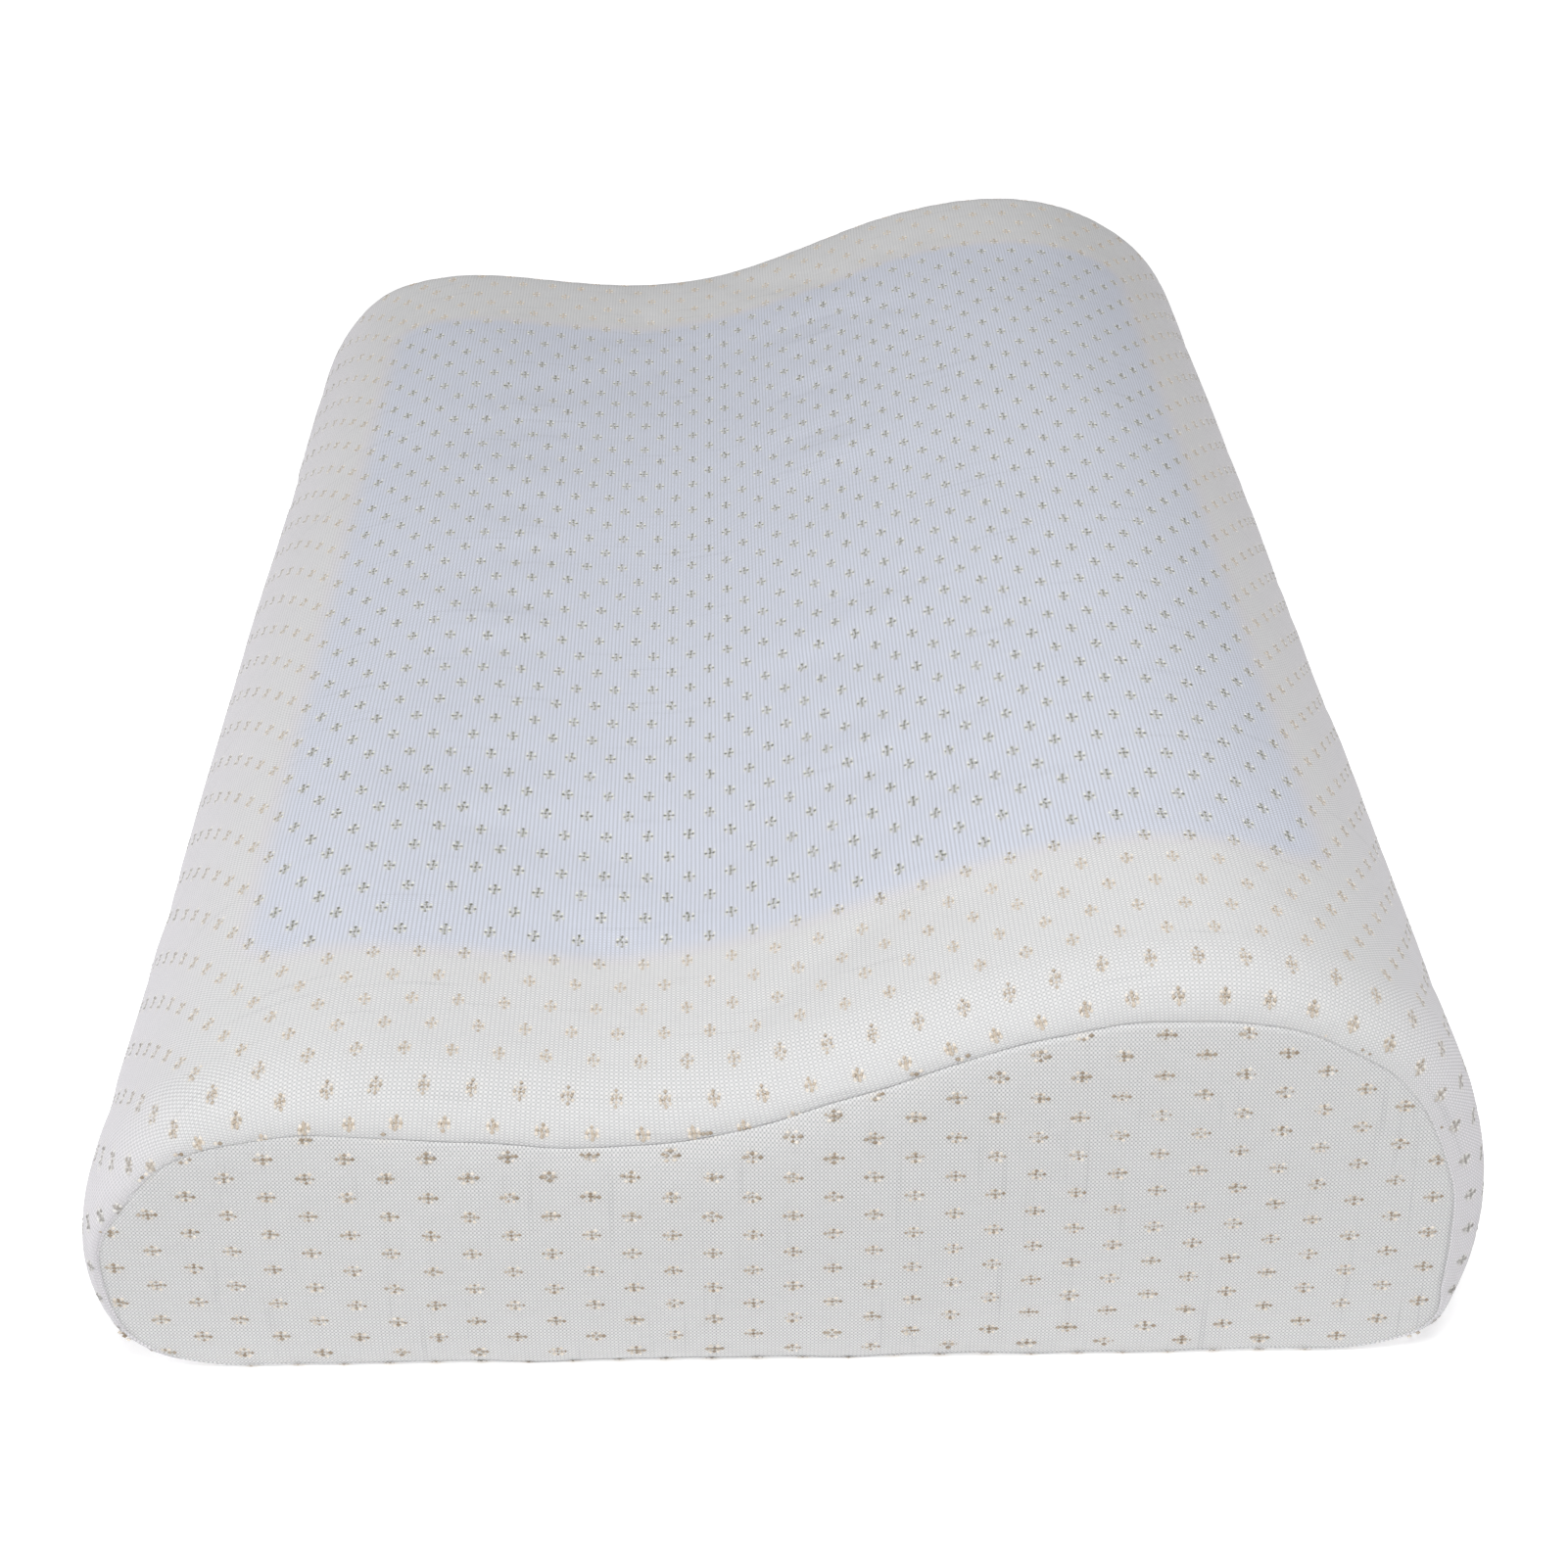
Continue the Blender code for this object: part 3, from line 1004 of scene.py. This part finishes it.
def knit_material(name, knit, knot_depth, gel=None):
    """White double knit: ribs along the cloth with knots between them, tinted round the crosses.

    The ribs are a cosine across the cloth. The knots are that cosine times one along the
    cloth, which draws rows of light and dark dots that change places. The colour is darkened
    where the weave is low: painted shade in the valleys of the ribs and in the pinholes.
    """
    shade = Shade(name)
    across, along = shade.pair("repeat")
    turn = 2 * math.pi
    wale = shade.math("COSINE", shade.math("MULTIPLY", across, turn * WALES))
    course = shade.math("COSINE", shade.math("MULTIPLY", along, turn * COURSES))
    knot = shade.math("MULTIPLY", wale, course)
    near = cell_distance(shade, across, along, knit, 1.5 * MM, 2.2 * MM)
    halo = shade.math("POWER", math.e, shade.math("MULTIPLY", near, -1.0))
    vector, _ = shade.place()
    cloud = shade.noise(vector, 14.0)
    fuzz = shade.noise(vector, 900.0, 3.0)
    colour = knit.cloth_colour
    rib_depth = 0.11
    if gel is not None:
        # Painted shade: the long sides' white knit is tinted lilac, the colour it shows in shade
        painted_shade_lilac = tuple(a * b for a, b in zip(knit.cloth_colour, (1.0, 0.975, 1.012)))
        colour = shade.mix(side_share(shade), colour, painted_shade_lilac)
        field = gel_field(shade, gel)
        colour = shade.mix(shade.ramp(field, 0.0, 0.35), colour, knit.border_colour)
        colour = shade.mix(shade.ramp(field, 0.15, 1.0), colour, knit.gel_colour)
        rib_depth = shade.math("MULTIPLY_ADD", field, 0.08, rib_depth)
    colour = shade.mix(shade.math("MULTIPLY", halo, 0.40), colour, (0.88, 0.83, 0.76))
    weave = shade.math("MULTIPLY_ADD", wale, rib_depth, shade.math("MULTIPLY", knot, knot_depth))
    weave = shade.math("MULTIPLY_ADD", course, 0.12, weave)
    # Painted shade in the weave's low places, plus the knit's own uneven tone from laddering, cloud and fuzz
    dark = shade.math("SUBTRACT", 0.20, weave)
    dark = shade.math("ADD", dark, laddering(shade, across, along))
    dark = shade.math("ADD", dark, shade.math("MULTIPLY", shade.math("SUBTRACT", cloud, 0.5), 0.06))
    dark = shade.math("ADD", dark, shade.math("MULTIPLY", shade.math("SUBTRACT", fuzz, 0.5), 0.12))
    colour = shade.mix(shade.math("MAXIMUM", dark, 0.0), colour, (0.16, 0.16, 0.18))
    shade.link(colour, shade.shader.inputs["Base Color"])
    shade.shader.inputs["Roughness"].default_value = 0.92
    shade.shader.inputs["Specular IOR Level"].default_value = 0.25
    shade.shader.inputs["Sheen Weight"].default_value = 0.12
    shade.shader.inputs["Sheen Roughness"].default_value = 0.5
    height = shade.math("MULTIPLY_ADD", weave, 1.0, shade.math("MULTIPLY", fuzz, 0.5))
    bump = shade.tree.nodes.new("ShaderNodeBump")
    bump.inputs["Strength"].default_value = 0.5
    bump.inputs["Distance"].default_value = 0.12 * MM
    shade.link(height, bump.inputs["Height"])
    shade.link(bump.outputs["Normal"], shade.shader.inputs["Normal"])
    return shade.material


def yarn_material(name, knit, dark, gel=None):
    """Yarn of the crosses: dark to light by the chart; grey on the sides as painted shade and highlight,
    greener over the gel.
    """
    shade = Shade(name)
    yarn = shade.value("yarn")
    tone = shade.value("tone")
    colour = shade.mix(yarn, dark, knit.light_yarn)
    warmer = shade.mix(yarn, tuple(1.15 * a for a in dark), (0.88, 0.84, 0.78))
    colour = shade.mix(shade.math("MULTIPLY", tone, 0.7), colour, warmer)
    if gel is not None:
        # Painted shade and highlight: on the long sides the yarn goes grey-brown and near white, as raised
        # crosses look in grazing light
        side_shade_and_highlight = shade.mix(yarn, (0.28, 0.27, 0.26), (0.79, 0.785, 0.775))
        colour = shade.mix(side_share(shade), colour, side_shade_and_highlight)
        green = shade.mix(yarn, (0.13, 0.14, 0.10), (0.88, 0.89, 0.84))
        colour = shade.mix(gel_field(shade, gel), colour, green)
    vector, _ = shade.place()
    twist = shade.noise(vector, 2500.0)
    colour = shade.mix(shade.math("MULTIPLY", twist, 0.2), colour, (0.9, 0.88, 0.84))
    shade.link(colour, shade.shader.inputs["Base Color"])
    shade.shader.inputs["Roughness"].default_value = 0.8
    shade.shader.inputs["Specular IOR Level"].default_value = 0.3
    return shade.material


# Operators


SETTLED = {}


def settled_wrap(scene):
    """The wrap panel's surface, its cloth simulation run once for both operators that need it."""
    wrap = Wrap(scene.pillow_form, scene.pillow_knit)
    if "heights" not in SETTLED:
        wrap.settle()
        SETTLED["heights"] = wrap.settled
    wrap.settled = SETTLED["heights"]
    return wrap


class PILLOW_OT_wrap(bpy.types.Operator):
    """Build the wrap panel with its filling"""

    bl_idname = "pillow.wrap"
    bl_label = "Wrap panel"

    def execute(self, context):
        scene = context.scene
        piece = build_wrap(settled_wrap(scene))
        piece.data.materials.append(knit_material("wrap_knit", scene.pillow_knit, 0.31, scene.pillow_gel))
        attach(piece, "root")
        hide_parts("pillow_body", "gel_pad")
        return {"FINISHED"}


class PILLOW_OT_ends(bpy.types.Operator):
    """Build both end panels"""

    bl_idname = "pillow.ends"
    bl_label = "End panels"

    def execute(self, context):
        scene = context.scene
        finish = knit_material("end_knit", scene.pillow_knit, 0.46)
        for side, end in ((-1, "near"), (1, "far")):
            panel = EndPanel(scene.pillow_form, scene.pillow_knit, side)
            piece = build_end(panel, f"end_cloth_{end}")
            piece.data.materials.append(finish)
            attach(piece, "root")
            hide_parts(f"end_panel_{end}")
        return {"FINISHED"}


class PILLOW_OT_crosses(bpy.types.Operator):
    """Build the raised crosses on the wrap panel and the end panels"""

    bl_idname = "pillow.crosses"
    bl_label = "Crosses"

    def execute(self, context):
        scene = context.scene
        form, knit = scene.pillow_form, scene.pillow_knit
        wrap = settled_wrap(scene)
        marks = wrap.outline
        foot = 6 * MM
        spans = (
            ("crosses_low_side", foot, marks.low_shoulder, 11),
            ("crosses_top", marks.low_shoulder, marks.high_shoulder, 12),
            ("crosses_high_side", marks.high_shoulder, marks.high_foot - foot, 13),
            ("crosses_base", marks.high_foot + foot, marks.length - foot, 14),
        )
        over_gel = yarn_material("wrap_yarn", knit, knit.wrap_yarn, scene.pillow_gel)
        for name, low, high, seed in spans:
            self.finish(build_wrap_crosses(wrap, name, low, high, seed), over_gel, "cover_knit")
        plain = yarn_material("end_yarn_and_shade", knit, knit.end_yarn_and_shade)
        for side, name, seed in ((-1, "crosses_near", 21), (1, "crosses_far", 22)):
            panel = EndPanel(form, knit, side)
            self.finish(build_end_crosses(panel, name, seed), plain, "end_knit")
        return {"FINISHED"}

    def finish(self, piece, material, slot):
        """Give a piece its material and its place in the frame."""
        piece.data.materials.append(material)
        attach(piece, "root")


class PILLOW_OT_stage(bpy.types.Operator):
    """Set the floor, the studio light and the camera"""

    bl_idname = "pillow.stage"
    bl_label = "Stage"

    def execute(self, context):
        context.scene.view_settings.view_transform = "Standard"
        build_floor()
        build_lights(context.scene)
        build_camera(context.scene, context.scene.pillow_stage)
        return {"FINISHED"}


def build_floor():
    """Plain pale floor under the pillow; it glows softly, and more towards the back."""
    bpy.ops.mesh.primitive_plane_add(size=12.0, location=(0, 0, CAD_LOW[2] - 0.4 * MM))
    floor = bpy.context.object
    floor.name = "floor"
    shade = Shade("pale_floor")
    shade.shader.inputs["Base Color"].default_value = (0.95, 0.95, 0.95, 1.0)
    shade.shader.inputs["Roughness"].default_value = 0.9
    shade.shader.inputs["Emission Color"].default_value = (1.0, 1.0, 1.0, 1.0)
    _, (_, y, _) = shade.place()
    # Painted light: the floor glows, more towards the back, lifting its shade and the pillow's cast shadows to
    # white
    glow = shade.math("MULTIPLY_ADD", shade.ramp(y, 0.1, 0.9), 0.40, 0.37)
    shade.link(glow, shade.shader.inputs["Emission Strength"])
    floor.data.materials.append(shade.material)
    floor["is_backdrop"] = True


def add_area_light(name, place, aim, size, power):
    """Square area light that faces a point."""
    light = bpy.data.lights.new(name, "AREA")
    light.shape = "SQUARE"
    light.size = size
    light.energy = power
    lamp = bpy.data.objects.new(name, light)
    bpy.context.scene.collection.objects.link(lamp)
    away = (np.array(place) - np.array(aim)) / np.linalg.norm(np.array(place) - np.array(aim))
    side = np.cross([0.0, 0.0, 1.0], away)
    if np.linalg.norm(side) < 1e-6:
        side = np.array([1.0, 0.0, 0.0])
    side = side / np.linalg.norm(side)
    up = np.cross(away, side)
    turn = Matrix(np.stack([side, up, away], axis=1).tolist()).to_4x4()
    lamp.matrix_world = Matrix.Translation(place) @ turn


def build_lights(scene):
    """Soft studio light: a key above the near end and a fill on either side."""
    world = bpy.data.worlds.new("studio")
    world.use_nodes = True
    surround = world.node_tree.nodes["Background"]
    surround.inputs["Color"].default_value = (1.0, 1.0, 1.0, 1.0)
    surround.inputs["Strength"].default_value = 0.04
    scene.world = world
    lights = (
        # name, place, aim, size (m), power (W)
        ("key", (0.0, -0.6, 1.3), (0.0, -0.05, 0.05), 0.8, 15.4),
        ("low_side_fill", (-1.6, -0.3, 0.9), (0.0, 0.0, 0.05), 1.0, 12.6),
        ("high_side_fill", (1.6, -0.3, 0.9), (0.0, 0.0, 0.05), 1.0, 6.0),
    )
    for light in lights:
        add_area_light(*light)


def build_camera(scene, stage):
    """Camera at the viewing angle of the reference view: yaw about Z, then pitch down."""
    camera = bpy.data.cameras.new("view")
    camera.sensor_fit = "HORIZONTAL"
    camera.sensor_width = 36.0
    camera.lens = stage.lens / MM
    eye = bpy.data.objects.new("view", camera)
    scene.collection.objects.link(eye)
    turn = Matrix.Rotation(-stage.yaw, 4, "Z") @ Matrix.Rotation(math.pi / 2 - stage.pitch, 4, "X")
    eye.matrix_world = Matrix.Translation(stage.camera_place) @ turn
    scene.camera = eye


class PILLOW_PT_sidebar(bpy.types.Panel):
    """Sidebar with the pillow's sizes and its operators"""

    bl_idname = "PILLOW_PT_sidebar"
    bl_label = "Contour pillow"
    bl_space_type = "VIEW_3D"
    bl_region_type = "UI"
    bl_category = "Pillow"

    def draw(self, context):
        for group in GROUPS:
            settings = getattr(context.scene, group)
            for name in settings.bl_rna.properties.keys():
                if name not in {"rna_type", "name"}:
                    self.layout.prop(settings, name)
        for operator in STEPS:
            self.layout.operator(operator.bl_idname)


GROUPS = {
    "pillow_form": PillowForm,
    "pillow_knit": PillowKnit,
    "pillow_gel": PillowGel,
    "pillow_stage": PillowStage,
}
STEPS = (PILLOW_OT_wrap, PILLOW_OT_ends, PILLOW_OT_crosses, PILLOW_OT_stage)


def register():
    """Register the settings, the operators and the panel."""
    for name, group in GROUPS.items():
        bpy.utils.register_class(group)
        setattr(bpy.types.Scene, name, bpy.props.PointerProperty(type=group))
    for step in (*STEPS, PILLOW_PT_sidebar):
        bpy.utils.register_class(step)


def unregister():
    """Take back what register added."""
    for step in (*STEPS, PILLOW_PT_sidebar):
        bpy.utils.unregister_class(step)
    for name, group in GROUPS.items():
        delattr(bpy.types.Scene, name)
        bpy.utils.unregister_class(group)


def main():
    """Build every piece."""
    register()
    for step in STEPS:
        group, name = step.bl_idname.split(".")
        getattr(getattr(bpy.ops, group), name)()


if __name__ == "__main__":
    main()
